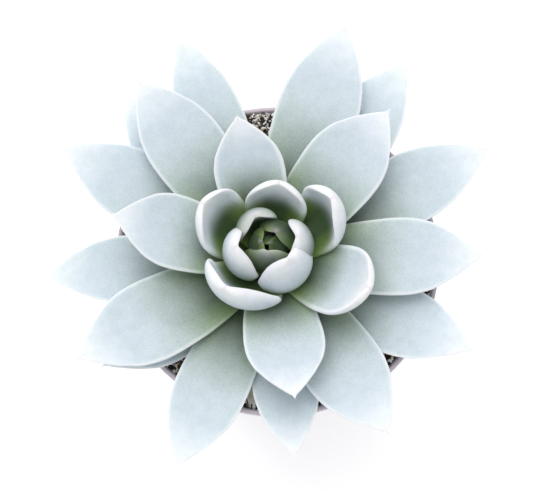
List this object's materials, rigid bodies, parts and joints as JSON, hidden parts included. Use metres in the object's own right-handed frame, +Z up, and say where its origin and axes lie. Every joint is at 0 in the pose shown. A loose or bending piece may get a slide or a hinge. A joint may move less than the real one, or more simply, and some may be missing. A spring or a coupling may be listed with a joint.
{
  "type": "potted succulent",
  "caption": "Pale blue-grey rosette succulent with thick pointed leaves in a tight spiral, growing in gritty soil in a round tapered plastic nursery pot.",
  "frame": {"origin": "centre of the pot's flat underside", "axes": "+Z up along the pot's axis; -Y is the front"},
  "size_m": [0.1446, 0.1485, 0.116],
  "materials": {
    "pot_plastic": "matte, injection moulded",
    "soil_mix": "loose gritty potting mix",
    "stem_bark": "smooth green bark",
    "leaf_skin": "waxy skin with a powdery bloom",
    "heart_skin": "waxy skin with a thinner powdery bloom",
    "dry_leaf_skin": "papery, matte"
  },
  "bodies": {
    "root": {"pot": "pot_plastic", "soil": "soil_mix", "stem": "stem_bark", "dry_leaf": "dry_leaf_skin", "leaf_01": "leaf_skin", "leaf_02": "leaf_skin", "leaf_03": "leaf_skin", "leaf_04": "leaf_skin", "leaf_05": "leaf_skin", "leaf_06": "leaf_skin", "leaf_07": "leaf_skin", "leaf_08": "leaf_skin", "leaf_09": "leaf_skin", "leaf_10": "leaf_skin", "leaf_11": "leaf_skin", "leaf_12": "leaf_skin", "leaf_13": "leaf_skin", "leaf_14": "leaf_skin", "leaf_15": "leaf_skin", "leaf_16": "leaf_skin", "leaf_17": "leaf_skin", "leaf_18": "leaf_skin", "leaf_19": "leaf_skin", "leaf_20": "leaf_skin", "leaf_21": "leaf_skin", "leaf_22": "leaf_skin", "leaf_23": "leaf_skin", "leaf_24": "leaf_skin", "leaf_25": "heart_skin", "leaf_26": "heart_skin", "leaf_27": "heart_skin", "leaf_28": "heart_skin", "leaf_29": "heart_skin", "leaf_30": "heart_skin", "leaf_31": "heart_skin", "leaf_32": "heart_skin", "leaf_33": "heart_skin", "leaf_34": "heart_skin"}
  },
  "joints": []
}
